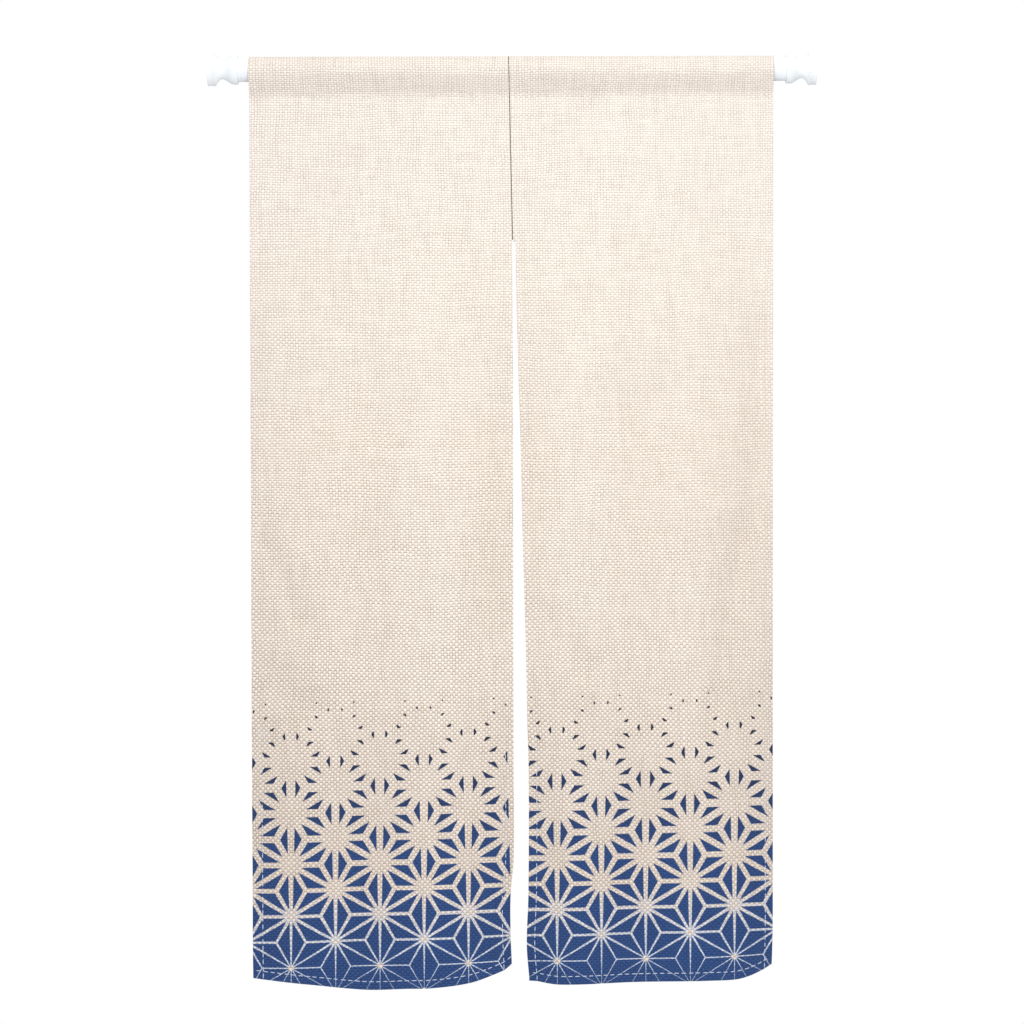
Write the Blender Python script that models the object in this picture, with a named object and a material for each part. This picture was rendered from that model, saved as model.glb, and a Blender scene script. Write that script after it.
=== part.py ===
"""A noren: two cloth panels hanging from a rod, with a slit between them.

X runs along the rod, the front faces -Y and Z is up. The origin is the middle of the left foot's outer
face, on the rod's axis.
"""

import math
from collections import namedtuple

import bmesh
import bpy

# Rod, end caps and foot pads, in metres
ROD_SPAN = 0.988
ROD_RADIUS = 0.0195
TUBE_WALL = 0.0012
PAD_RADIUS = 0.0260
PAD_THICKNESS = 0.0098
PAD_CHAMFER = 0.0015
FLANGE_RADIUS = 0.0263
FLANGE_THICKNESS = 0.0026
NECK_RADIUS = 0.0150
NECK_FROM_PAD = 0.0130
COLLAR_RADIUS = 0.0237
COLLAR_WIDTH = 0.0065
CAP_LENGTH = 0.0390
SPIGOT_LENGTH = 0.0250
GAP = 0.0003
ROUND_STEPS = 32
WAIST_STEPS = 4

# Cloth
CLOTH_THICKNESS = 0.0013
HEM_THICKNESS = 0.0026
STITCH_DROP = 0.0430
POCKET_HEM = 0.0100
KINK_RADIUS = 0.0120
HEM_STEP = 0.0015
BOTTOM_HEM = 0.0135
SEAM_TOP_X = 0.4885
SEAM_FOOT_X = 0.4944
SEAM_FOOT_Z = -0.2770
FOLDS_START = 0.060
FOLDS_FULL = 0.360

# The cloth's middle and its outside, measured from the rod's axis
POCKET_MIDDLE = ROD_RADIUS + GAP + CLOTH_THICKNESS / 2
POCKET_TOP = ROD_RADIUS + GAP + CLOTH_THICKNESS

# How finely the cloth is divided
COLUMNS = 23
ROWS = 26
KINK_STEPS = 3

# An edge or a hem is a smooth curve through a few places
Place = namedtuple("Place", "along across")

# A fold follows a line and eases out past its ends; depth is away from the viewer, less than 0 on a ridge
Fold = namedtuple("Fold", "top_x top_z foot_x foot_z half_width ease depth")

# A corner turns back within its reach
Curl = namedtuple("Curl", "x z reach depth")

Panel = namedtuple("Panel", "left_edge right_edge hem left_hem right_hem folds curls")

LEFT_PANEL = Panel(
    left_edge=(
        Place(along=0.021, across=0.0667),
        Place(along=-0.150, across=0.0672),
        Place(along=-0.550, across=0.0675),
        Place(along=-1.130, across=0.0684),
        Place(along=-1.480, across=0.0698),
    ),
    right_edge=(
        Place(along=-0.290, across=0.4934),
        Place(along=-0.440, across=0.4943),
        Place(along=-0.900, across=0.4941),
        Place(along=-1.130, across=0.4941),
        Place(along=-1.284, across=0.4941),
        Place(along=-1.330, across=0.4897),
        Place(along=-1.365, across=0.4885),
        Place(along=-1.414, across=0.4891),
        Place(along=-1.460, across=0.4909),
    ),
    hem=(
        Place(along=0.0698, across=-1.4773),
        Place(along=0.1643, across=-1.4864),
        Place(along=0.2521, across=-1.4957),
        Place(along=0.3250, across=-1.4934),
        Place(along=0.3577, across=-1.4925),
        Place(along=0.4237, across=-1.4846),
        Place(along=0.4672, across=-1.4710),
        Place(along=0.4800, across=-1.4658),
        Place(along=0.4909, across=-1.4572),
    ),
    left_hem=0.0195,
    right_hem=0.0130,
    folds=(
        Fold(0.060, -0.520, 0.062, -1.300, 0.034, 0.140, 0.009),
        Fold(0.165, -0.450, 0.150, -1.500, 0.055, 0.160, -0.005),
        Fold(0.093, -0.772, 0.150, -0.894, 0.017, 0.030, 0.005),
        Fold(0.110, -0.985, 0.155, -1.030, 0.032, 0.040, 0.005),
        Fold(0.265, -0.600, 0.245, -1.500, 0.045, 0.160, 0.004),
        Fold(0.355, -0.500, 0.365, -1.500, 0.052, 0.160, -0.006),
        Fold(0.462, -0.600, 0.470, -0.880, 0.020, 0.060, 0.006),
        Fold(0.500, -0.650, 0.500, -1.450, 0.036, 0.160, 0.006),
    ),
    curls=(
        Curl(0.491, -1.457, 0.110, 0.022),
        Curl(0.070, -1.477, 0.080, 0.008),
    ),
)

RIGHT_PANEL = Panel(
    left_edge=(
        Place(along=-0.292, across=0.4995),
        Place(along=-0.390, across=0.5009),
        Place(along=-0.610, across=0.5069),
        Place(along=-0.755, across=0.5098),
        Place(along=-0.878, across=0.5132),
        Place(along=-0.960, across=0.5152),
        Place(along=-1.050, across=0.5166),
        Place(along=-1.150, across=0.5189),
        Place(along=-1.340, across=0.5180),
        Place(along=-1.423, across=0.5151),
        Place(along=-1.478, across=0.5190),
    ),
    right_edge=(
        Place(along=0.021, across=0.9184),
        Place(along=-1.460, across=0.9155),
    ),
    hem=(
        Place(along=0.5190, across=-1.4830),
        Place(along=0.5332, across=-1.4834),
        Place(along=0.5480, across=-1.4858),
        Place(along=0.5690, across=-1.4873),
        Place(along=0.7331, across=-1.4828),
        Place(along=0.8100, across=-1.4812),
        Place(along=0.8534, across=-1.4800),
        Place(along=0.8745, across=-1.4759),
        Place(along=0.8990, across=-1.4668),
        Place(along=0.9155, across=-1.4586),
    ),
    left_hem=0.0130,
    right_hem=0.0125,
    folds=(
        Fold(0.508, -0.600, 0.520, -1.450, 0.042, 0.160, 0.009),
        Fold(0.564, -0.902, 0.605, -0.967, 0.024, 0.030, 0.005),
        Fold(0.590, -0.500, 0.600, -1.490, 0.055, 0.160, -0.006),
        Fold(0.700, -0.600, 0.680, -1.490, 0.050, 0.160, 0.004),
        Fold(0.800, -0.550, 0.790, -1.490, 0.055, 0.160, -0.005),
        Fold(0.865, -0.764, 0.824, -1.024, 0.020, 0.050, 0.006),
        Fold(0.890, -0.440, 0.885, -0.700, 0.024, 0.070, 0.006),
        Fold(0.925, -0.650, 0.925, -1.400, 0.034, 0.160, 0.008),
    ),
    curls=(
        Curl(0.915, -1.458, 0.090, 0.022),
        Curl(0.519, -1.483, 0.060, 0.006),
    ),
)


def clear_scene():
    for old in list(bpy.data.objects):
        bpy.data.objects.remove(old, do_unlink=True)


def plain_material(name, colour, roughness, metallic=0.0):
    material = bpy.data.materials.new(name)
    material.use_nodes = True
    shader = material.node_tree.nodes["Principled BSDF"]
    shader.inputs["Base Color"].default_value = (*colour, 1.0)
    shader.inputs["Roughness"].default_value = roughness
    shader.inputs["Metallic"].default_value = metallic
    return material


def add_object(name, bm, material, sharp_angle):
    bmesh.ops.recalc_face_normals(bm, faces=bm.faces)
    mesh = bpy.data.meshes.new(name)
    bm.to_mesh(mesh)
    bm.free()
    mesh.shade_smooth()
    mesh.set_sharp_from_angle(angle=math.radians(sharp_angle))
    mesh.materials.append(material)
    added = bpy.data.objects.new(name, mesh)
    bpy.context.scene.collection.objects.link(added)
    return added


def smooth_step(value):
    value = min(max(value, 0.0), 1.0)
    return value * value * (3.0 - 2.0 * value)


def on_curve(places, along):
    """The height of a smooth curve through the places, flat past both of its ends."""
    rows = sorted(places)
    if along <= rows[0].along:
        return rows[0].across
    if along >= rows[-1].along:
        return rows[-1].across
    slopes = []
    for index in range(len(rows)):
        before = rows[max(index - 1, 0)]
        after = rows[min(index + 1, len(rows) - 1)]
        slopes.append((after.across - before.across) / (after.along - before.along))
    here = max(index for index in range(len(rows) - 1) if rows[index].along <= along)
    low = rows[here]
    high = rows[here + 1]
    span = high.along - low.along
    t = (along - low.along) / span
    return (
        low.across * (1 + 2 * t) * (1 - t) ** 2
        + high.across * t * t * (3 - 2 * t)
        + slopes[here] * span * t * (1 - t) ** 2
        + slopes[here + 1] * span * t * t * (t - 1)
    )


def seam_x(z):
    """Where the two panels meet above the slit."""
    return SEAM_TOP_X + (SEAM_FOOT_X - SEAM_TOP_X) * (POCKET_TOP - z) / (POCKET_TOP - SEAM_FOOT_Z)


def edge_x(panel, right, z):
    places = panel.right_edge if right else panel.left_edge
    sewn = right == (panel is LEFT_PANEL)
    if sewn and z >= SEAM_FOOT_Z:
        return seam_x(z) + (-GAP / 2 if right else GAP / 2)
    return on_curve(places, z)


def fold_depth(panel, x, z):
    """How far the cloth stands back from the plane under the rod's axis."""
    depth = 0.0
    for fold in panel.folds:
        run_x = fold.foot_x - fold.top_x
        run_z = fold.foot_z - fold.top_z
        length = math.hypot(run_x, run_z)
        along = ((x - fold.top_x) * run_x + (z - fold.top_z) * run_z) / length
        aside = ((x - fold.top_x) * run_z - (z - fold.top_z) * run_x) / length
        past = max(-along, along - length, 0.0)
        depth += fold.depth * math.exp(-((aside / fold.half_width) ** 2) - (past / fold.ease) ** 2)
    depth *= smooth_step((-z - FOLDS_START) / (FOLDS_FULL - FOLDS_START))
    for curl in panel.curls:
        near = max(1.0 - math.hypot(x - curl.x, z - curl.z) / curl.reach, 0.0)
        depth += curl.depth * near * near
    return depth


def hang_angle():
    """How far the pocket's sides slant, from a bend at the stitch line to a tangent on the rod."""
    bend_y = KINK_RADIUS + CLOTH_THICKNESS / 2
    reach = math.hypot(bend_y, STITCH_DROP)
    return math.atan2(STITCH_DROP, bend_y) - math.acos((POCKET_MIDDLE + KINK_RADIUS) / reach)


def pocket_path():
    """Points (y, z, normal y, normal z) up the pocket's front, over the rod and down its back."""
    path = []
    slant = hang_angle()
    for step in range(1, KINK_STEPS + 1):
        turned = slant * step / KINK_STEPS
        normal_y = -math.cos(turned)
        normal_z = -math.sin(turned)
        y = -CLOTH_THICKNESS / 2 - KINK_RADIUS * (1 + normal_y)
        path.append((y, -STITCH_DROP - KINK_RADIUS * normal_z, normal_y, normal_z))
    rise = path[::-1]
    turn = math.pi + 2 * slant
    steps = round(ROUND_STEPS * turn / (2 * math.pi))
    for step in range(steps + 1):
        angle = math.pi + slant - turn * step / steps
        y = math.cos(angle)
        z = math.sin(angle)
        path.append((POCKET_MIDDLE * y, POCKET_MIDDLE * z, y, z))
    return path + [(-y, z, -normal_y, normal_z) for y, z, normal_y, normal_z in rise]


def column_places(panel):
    """Where the columns of the cloth lie, as (from the left edge, share of the width)."""
    width = on_curve(panel.right_edge, -1.0) - on_curve(panel.left_edge, -1.0)
    places = [0.0, panel.left_hem / width, (panel.left_hem + HEM_STEP) / width]
    first = places[-1]
    last = 1.0 - (panel.right_hem + HEM_STEP) / width
    for step in range(1, COLUMNS):
        places.append(first + (last - first) * step / COLUMNS)
    return places + [last, 1.0 - panel.right_hem / width, 1.0]


def section(panel, share, in_hem):
    """One column of the cloth: its outer loop, and the loop inside the pocket."""
    half = CLOTH_THICKNESS / 2

    def point(z, y):
        left = edge_x(panel, False, z)
        return (left + share * (edge_x(panel, True, z) - left), y, z)

    foot_x = point(panel.hem[0].across, 0.0)[0]
    foot_z = on_curve(panel.hem, foot_x)
    hem_z = foot_z + BOTTOM_HEM
    start_z = hem_z + HEM_STEP
    end_z = -STITCH_DROP - POCKET_HEM - HEM_STEP
    levels = [(foot_z, True), (hem_z, True)]
    for step in range(ROWS + 1):
        levels.append((start_z + (end_z - start_z) * step / ROWS, in_hem))
    levels.append((-STITCH_DROP - POCKET_HEM, True))
    levels.append((-STITCH_DROP, True))

    front = []
    back = []
    for z, doubled in levels:
        x = point(z, 0.0)[0]
        depth = fold_depth(panel, x, z)
        thickness = HEM_THICKNESS if doubled else CLOTH_THICKNESS
        front.append(point(z, depth - CLOTH_THICKNESS))
        back.append(point(z, depth - CLOTH_THICKNESS + thickness))
    over = []
    inside = [point(-STITCH_DROP, 0.0)]
    for y, z, normal_y, normal_z in pocket_path():
        over.append(point(z + half * normal_z, y + half * normal_y))
        inside.append(point(z - half * normal_z, y - half * normal_y))
    return front + over + back[::-1], inside, len(levels), len(over)


def cap_faces(outer, inside, level_count, over_count, flip):
    """Faces that close one side edge of the cloth, one for each step along it."""
    faces = []
    last = len(outer) - 1
    for step in range(level_count - 2):
        faces.append([outer[step], outer[step + 1], outer[last - step - 1], outer[last - step]])
    step = level_count - 2
    faces.append([outer[step], outer[step + 1], inside[0], outer[last - step - 1], outer[last - step]])
    for step in range(over_count):
        first = level_count - 1 + step
        faces.append([outer[first], outer[first + 1], inside[step + 1], inside[step]])
    last_over = level_count - 1 + over_count
    faces.append([outer[last_over], outer[last_over + 1], inside[0], inside[over_count]])
    return [face[::-1] for face in faces] if flip else faces


def add_panel(name, panel, material):
    bm = bmesh.new()
    shares = column_places(panel)
    loops = []
    for index, share in enumerate(shares):
        in_hem = index < 2 or index > len(shares) - 3
        outer, inside, level_count, over_count = section(panel, share, in_hem)
        loops.append(([bm.verts.new(p) for p in outer], [bm.verts.new(p) for p in inside]))
    for here, beyond in zip(loops, loops[1:]):
        for ring, next_ring in zip(here, beyond):
            for step in range(len(ring)):
                after = (step + 1) % len(ring)
                bm.faces.new([ring[step], ring[after], next_ring[after], next_ring[step]])
    for side, flip in ((loops[0], True), (loops[-1], False)):
        for face in cap_faces(*side, level_count, over_count, flip):
            bm.faces.new(face)
    return add_object(name, bm, material, 40)


def add_turned(name, profile, material, ring=False):
    """A round piece from (x, radius) points, closed on the axis or, as a ring, on itself."""
    bm = bmesh.new()
    points = [bm.verts.new((x, 0.0, radius)) for x, radius in profile]
    edges = [bm.edges.new(pair) for pair in zip(points, points[1:])]
    if ring:
        edges.append(bm.edges.new((points[-1], points[0])))
    bmesh.ops.spin(
        bm,
        geom=points + edges,
        cent=(0.0, 0.0, 0.0),
        axis=(1.0, 0.0, 0.0),
        angle=2 * math.pi,
        steps=ROUND_STEPS,
        use_merge=True,
    )
    bmesh.ops.remove_doubles(bm, verts=bm.verts, dist=1e-6)
    return add_object(name, bm, material, 30)


def tube_profile():
    start = PAD_THICKNESS + GAP + CAP_LENGTH + GAP
    end = ROD_SPAN - start
    bore = ROD_RADIUS - TUBE_WALL
    return [(start, bore), (start, ROD_RADIUS), (end, ROD_RADIUS), (end, bore)]


def pad_profile():
    rim = PAD_RADIUS - PAD_CHAMFER
    return [
        (0.0, 0.0),
        (0.0, rim),
        (PAD_CHAMFER, PAD_RADIUS),
        (PAD_THICKNESS - PAD_CHAMFER, PAD_RADIUS),
        (PAD_THICKNESS, rim),
        (PAD_THICKNESS, 0.0),
    ]


def cap_profile():
    """Flange, waist, flare, collar and the spigot inside the tube, from the pad inwards."""
    start = PAD_THICKNESS + GAP
    flange_end = start + FLANGE_THICKNESS
    neck = start + NECK_FROM_PAD
    end = start + CAP_LENGTH
    collar = end - COLLAR_WIDTH
    spigot = ROD_RADIUS - TUBE_WALL - GAP
    shape = [(start, 0.0), (start, FLANGE_RADIUS)]
    for step in range(WAIST_STEPS):
        share = step / WAIST_STEPS
        radius = NECK_RADIUS + (FLANGE_RADIUS - NECK_RADIUS) * (1 - share) ** 2
        shape.append((flange_end + (neck - flange_end) * share, radius))
    for step in range(WAIST_STEPS + 1):
        share = step / WAIST_STEPS
        radius = NECK_RADIUS + (COLLAR_RADIUS - NECK_RADIUS) * smooth_step(share)
        shape.append((neck + (collar - neck) * share, radius))
    shape.append((end, COLLAR_RADIUS))
    shape.append((end, spigot))
    shape.append((end + SPIGOT_LENGTH, spigot))
    shape.append((end + SPIGOT_LENGTH, 0.0))
    return shape


def add_rod(tube, plastic, rubber):
    add_turned("rod_tube", tube_profile(), tube, ring=True)
    for side in ("left", "right"):
        for piece, profile, material in (
            ("foot_pad", pad_profile(), rubber),
            ("end_cap", cap_profile(), plastic),
        ):
            if side == "right":
                profile = [(ROD_SPAN - x, radius) for x, radius in profile]
            add_turned(f"{side}_{piece}", profile, material)


def main():
    clear_scene()
    cloth = plain_material("cloth", (0.87, 0.80, 0.71), 0.95)
    tube = plain_material("white_tube", (0.86, 0.88, 0.90), 0.35)
    plastic = plain_material("white_plastic", (0.86, 0.89, 0.92), 0.30)
    rubber = plain_material("pale_rubber", (0.80, 0.83, 0.86), 0.80)
    add_panel("left_panel", LEFT_PANEL, cloth)
    add_panel("right_panel", RIGHT_PANEL, cloth)
    add_rod(tube, plastic, rubber)


main()
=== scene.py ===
# Noren curtain on its tension rod: woven cloth with a printed border, sewing, rod finishes, light and camera
import math
import random

import bmesh
import bpy
import numpy as np
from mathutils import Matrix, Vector, noise


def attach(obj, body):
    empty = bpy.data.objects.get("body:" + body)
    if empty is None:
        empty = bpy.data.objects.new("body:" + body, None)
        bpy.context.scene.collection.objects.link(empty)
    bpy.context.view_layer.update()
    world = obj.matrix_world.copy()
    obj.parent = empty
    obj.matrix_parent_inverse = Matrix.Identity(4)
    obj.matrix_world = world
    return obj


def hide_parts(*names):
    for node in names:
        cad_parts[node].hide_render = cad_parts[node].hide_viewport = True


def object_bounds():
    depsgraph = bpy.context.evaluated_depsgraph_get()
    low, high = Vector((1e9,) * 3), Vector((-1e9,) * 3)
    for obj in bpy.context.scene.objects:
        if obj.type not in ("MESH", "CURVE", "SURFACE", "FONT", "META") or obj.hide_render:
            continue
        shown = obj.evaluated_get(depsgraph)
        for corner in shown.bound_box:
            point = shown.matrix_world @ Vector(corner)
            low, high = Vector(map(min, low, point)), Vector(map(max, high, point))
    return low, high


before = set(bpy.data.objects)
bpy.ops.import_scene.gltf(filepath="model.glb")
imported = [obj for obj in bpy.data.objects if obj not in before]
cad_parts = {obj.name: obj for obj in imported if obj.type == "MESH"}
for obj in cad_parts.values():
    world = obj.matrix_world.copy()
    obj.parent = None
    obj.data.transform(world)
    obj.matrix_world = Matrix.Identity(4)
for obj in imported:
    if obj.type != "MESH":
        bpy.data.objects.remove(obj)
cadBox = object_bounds()
scene = bpy.context.scene
print("frame loaded:", ", ".join(sorted(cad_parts)))


# Small helpers for node trees and objects

def feed(socket, value):  # joins another node's output, or sets a plain value
    if isinstance(value, bpy.types.NodeSocket):
        socket.id_data.links.new(value, socket)
    else:
        socket.default_value = value


def addNode(tree, kind, *values, **settings):  # the values go to its first inputs
    node = tree.nodes.new(kind)
    for name, value in settings.items():
        setattr(node, name, value)
    for socket, value in zip(node.inputs, values):
        feed(socket, value)
    return node


def treeOf(*values):
    return next(value.id_data for value in values if isinstance(value, bpy.types.NodeSocket))


def calc(operation, *values, clamp=False):
    node = addNode(treeOf(*values), "ShaderNodeMath", *values, operation=operation, use_clamp=clamp)
    return node.outputs[0]


def times(first, second):
    return calc("MULTIPLY", first, second)


def minus(first, second):
    return calc("SUBTRACT", first, second)


def scaled(value, factor, added):  # value times factor, plus what is added
    return calc("MULTIPLY_ADD", value, factor, added)


def remap(value, low, high, toLow=0.0, toHigh=1.0, smooth=False):
    how = "SMOOTHSTEP" if smooth else "LINEAR"
    given = (value, low, high, toLow, toHigh)
    return addNode(value.id_data, "ShaderNodeMapRange", *given, interpolation_type=how).outputs[0]


def split(vector):
    return tuple(addNode(vector.id_data, "ShaderNodeSeparateXYZ", vector).outputs)


def blend(share, first, second, how="MIX"):
    tree = treeOf(share, first, second)
    node = addNode(tree, "ShaderNodeMix", share, data_type="RGBA", blend_type=how)
    feed(node.inputs[6], first)
    feed(node.inputs[7], second)
    return node.outputs[2]


def tint(value, powers=(1.0, 1.0, 1.0)):  # a number as a colour, to multiply with
    parts = [value if power == 1.0 else calc("POWER", value, power) for power in powers]
    return addNode(value.id_data, "ShaderNodeCombineColor", *parts).outputs[0]


def fill(node, values):
    for name, value in values.items():
        node.inputs[name].default_value = value


def addNoise(place, scale, detail):
    cloud = addNode(place.id_data, "ShaderNodeTexNoise", place)
    fill(cloud, {"Scale": scale, "Detail": detail})
    return cloud.outputs[0]


def grain(x, y, kind, seed=0.0, detail=0.0):  # soft noise; its kind is scale in x, scale in y and seed
    given = (times(x, kind[0]), times(y, kind[1]), seed + kind[2])
    return addNoise(addNode(x.id_data, "ShaderNodeCombineXYZ", *given).outputs[0], 1.0, detail)


def addBump(shader, height, strength, distance):
    bump = addNode(height.id_data, "ShaderNodeBump")
    fill(bump, {"Strength": strength, "Distance": distance})
    feed(bump.inputs["Height"], height)
    feed(shader.inputs["Normal"], bump.outputs[0])


def newMaterial(name, surface):
    material = bpy.data.materials.new(name)
    material.use_nodes = True
    shader = material.node_tree.nodes["Principled BSDF"]
    fill(shader, surface)
    return material, material.node_tree, shader


def newGroup(name, vectors, numbers):  # takes in vectors and gives numbers
    tree = bpy.data.node_groups.new(name, "ShaderNodeTree")
    for label in vectors:
        tree.interface.new_socket(label, in_out="INPUT", socket_type="NodeSocketVector")
    for label in numbers:
        tree.interface.new_socket(label, in_out="OUTPUT", socket_type="NodeSocketFloat")
    return tree, addNode(tree, "NodeGroupInput").outputs, addNode(tree, "NodeGroupOutput").inputs


def addObject(name, data):
    placed = bpy.data.objects.new(name, data)
    scene.collection.objects.link(placed)
    return placed


def newMesh(name, points, faces):
    mesh = bpy.data.meshes.new(name)
    mesh.from_pydata(points, [], faces)
    faceOutward(mesh)
    return mesh


def faceOutward(mesh):
    bm = bmesh.new()
    bm.from_mesh(mesh)
    bmesh.ops.recalc_face_normals(bm, faces=bm.faces)
    bm.to_mesh(mesh)
    bm.free()


def addPiece(name, mesh, materials, sharpAngle):
    for material in materials:
        mesh.materials.append(material)
    mesh.shade_smooth()
    mesh.set_sharp_from_angle(angle=math.radians(sharpAngle))
    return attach(addObject(name, mesh), "root")


# Camera, floor and studio light

camera = {
    "aim": (0.49256, 0.0, -0.71924),  # the middle of the picture, on the plane of the cloth
    "distance": 5.0,
    "pictureWidth": 1.6642,  # how much of that plane the picture takes in
    "roll": 0.12,  # degrees, so that the right end stands a little higher
    "sensor": 36.0,  # mm
}


def addCamera():
    lens = bpy.data.cameras.new("camera")
    lens.sensor_width = camera["sensor"]
    lens.lens = camera["sensor"] * camera["distance"] / camera["pictureWidth"]
    placed = addObject("camera", lens)
    x, y, z = camera["aim"]
    placed.location = (x, y - camera["distance"], z)
    placed.rotation_euler = (math.radians(90), math.radians(camera["roll"]), 0)
    scene.camera = placed


studio = {
    "backdrop": (1.0, 1.0, 1.0, 1.0),
    "airAbove": (1.0, 1.0, 1.0, 1.0),
    "airBelow": (0.80, 0.82, 0.86, 1.0),
    "airRange": (-0.6, 0.3),  # heights where the one turns into the other
    "airStrength": 0.755,
    "overhead": 1.35,  # how much brighter the air is straight above
    "overheadFrom": 0.2,
    "keyPlace": (0.58, -1.50, 0.25),
    "keyAim": (0.50, 0.0, -0.45),
    "keySize": (1.0, 0.8),
    "keyPower": 11.5,
    "keyColour": (1.0, 0.985, 0.96),
    "floorHeight": -1.95,
    "floorRadius": 2.2,
    "floorFade": 0.55,  # share of the radius from which the floor fades out
    "floorSurface": {"Base Color": (0.86, 0.86, 0.87, 1.0), "Roughness": 0.9, "Specular IOR Level": 0.1},
}


def addWorld():
    world = bpy.data.worlds.new("studio")
    world.use_nodes = True
    scene.world = world
    tree = world.node_tree
    tree.nodes.clear()
    height = split(addNode(tree, "ShaderNodeTexCoord").outputs["Generated"])[2]
    rise = remap(height, *studio["airRange"], smooth=True)
    colour = blend(rise, studio["airBelow"], studio["airAbove"])
    overhead = remap(height, studio["overheadFrom"], 1.0, 1.0, studio["overhead"])
    air = addNode(tree, "ShaderNodeBackground", colour, times(overhead, studio["airStrength"])).outputs[0]
    backdrop = addNode(tree, "ShaderNodeBackground", studio["backdrop"]).outputs[0]
    seen = addNode(tree, "ShaderNodeLightPath").outputs["Is Camera Ray"]
    choose = addNode(tree, "ShaderNodeMixShader", seen, air, backdrop)
    addNode(tree, "ShaderNodeOutputWorld", choose.outputs[0])
    scene.view_settings.view_transform = "Standard"


def addKeyLight():
    lamp = bpy.data.lights.new("key", "AREA")
    lamp.shape = "RECTANGLE"
    lamp.size, lamp.size_y = studio["keySize"]
    lamp.energy = studio["keyPower"]
    lamp.color = studio["keyColour"]
    placed = addObject("key", lamp)
    placed.location = studio["keyPlace"]
    away = Vector(studio["keyPlace"]) - Vector(studio["keyAim"])
    placed.rotation_euler = away.to_track_quat("Z", "Y").to_euler()
    placed.visible_camera = False


def addFloor():
    radius = studio["floorRadius"]
    bm = bmesh.new()
    bmesh.ops.create_circle(bm, cap_ends=True, radius=radius, segments=96)
    mesh = bpy.data.meshes.new("floor")
    bm.to_mesh(mesh)
    bm.free()
    floor = addObject("floor", mesh)
    floor.location = (cadBox[1].x / 2, 0, studio["floorHeight"])
    material, tree, shader = newMaterial("floor", studio["floorSurface"])
    place = addNode(tree, "ShaderNodeTexCoord").outputs["Object"]
    reach = addNode(tree, "ShaderNodeVectorMath", place, operation="LENGTH")
    fade = remap(reach.outputs["Value"], radius * studio["floorFade"], radius, 1, 0, True)
    feed(shader.inputs["Alpha"], fade)
    mesh.materials.append(material)


addCamera()
addWorld()
addKeyLight()
addFloor()
print("camera, light and floor ready")


# Woven cloth: a coarse plain weave, with a hemp-leaf border printed on its front

weave = {
    "wander": 0.3,  # how far a thread strays sideways, in threads
    "wanderNoise": (0.40, 0.13, 0.0),  # scale across the threads, scale along them, seed
    "drift": 0.9,  # how far whole groups of threads stray, in threads
    "driftNoise": (0.05, 0.045, 7.7),
    "warpSwing": 0.55,  # rise and dip at the crossings, in thread thicknesses
    "weftSwing": 0.38,
    "warpHalf": 0.515,  # half width of an upright thread, in threads
    "weftHalf": 0.435,
    "slub": 0.09,  # how much the half width varies along a thread
    "slubNoise": (1.7, 0.16, 3.1),
    "toneNoise": (1.7, 0.07, 9.7),
    "squash": 2.6,  # 2 is a round thread, more is a flattened one
    "top": 1.5,  # a thread's height where it lies over another
    "crossing": 0.15,  # how softly one set takes over from the other
    "lowerSide": (0.1, -0.9),  # a level thread's lower side, where painted shade lies, in half widths
    "dip": (0.35, 1.05),  # the dip beside a thread, in half widths
    "relief": 0.0008,  # metres from a thread's crown down to the gap
    "bump": 0.9,
}


def buildWeave():
    outlets = ["Height", "Tone", "Upright", "Under", "Between", "Beside"]
    tree, given, result = newGroup("plain weave", ["Threads"], outlets)
    x, y, _ = split(given["Threads"])

    def thread(across, along, half, swing, seed):  # cross-section, rise at the crossings and tone of one set
        moved = across
        for kind, detail in (("wander", 1.0), ("drift", 0.0)):
            stray = minus(grain(across, along, weave[kind + "Noise"], seed, detail), 0.5)
            moved = scaled(stray, 2 * weave[kind], moved)
        number = calc("FLOOR", moved)
        width = grain(number, along, weave["slubNoise"], seed)
        width = remap(width, 0.25, 0.75, half - weave["slub"], half + weave["slub"])
        aside = calc("DIVIDE", minus(calc("FRACT", moved), 0.5), width)
        squashed = calc("POWER", calc("ABSOLUTE", aside), weave["squash"])
        arch = calc("SQRT", calc("SUBTRACT", 1.0, squashed, clamp=True))
        bulge = times(arch, weave["top"] - abs(swing))
        parity = calc("COSINE", times(number, math.pi))
        tone = grain(number, along, weave["toneNoise"], seed, 1.0)
        return moved, aside, bulge, times(parity, swing), tone

    u, asideU, bulgeU, swingU, toneU = thread(x, y, weave["warpHalf"], weave["warpSwing"], 1.3)
    v, asideV, bulgeV, swingV, toneV = thread(y, x, weave["weftHalf"], -weave["weftSwing"], 5.9)
    warp = scaled(swingU, calc("SINE", times(v, math.pi)), bulgeU)
    weft = scaled(swingV, calc("SINE", times(u, math.pi)), bulgeV)
    onTop = remap(minus(warp, weft), -weave["crossing"], weave["crossing"])
    feed(result["Height"], calc("DIVIDE", calc("MAXIMUM", warp, weft), weave["top"]))
    feed(result["Tone"], scaled(minus(toneU, toneV), onTop, toneV))
    feed(result["Upright"], onTop)
    feed(result["Under"], remap(asideV, *weave["lowerSide"], smooth=True))
    for label, aside in (("Between", asideV), ("Beside", asideU)):
        dip = remap(calc("ABSOLUTE", aside), *weave["dip"], smooth=True)
        feed(result[label], dip)
    return tree


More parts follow.
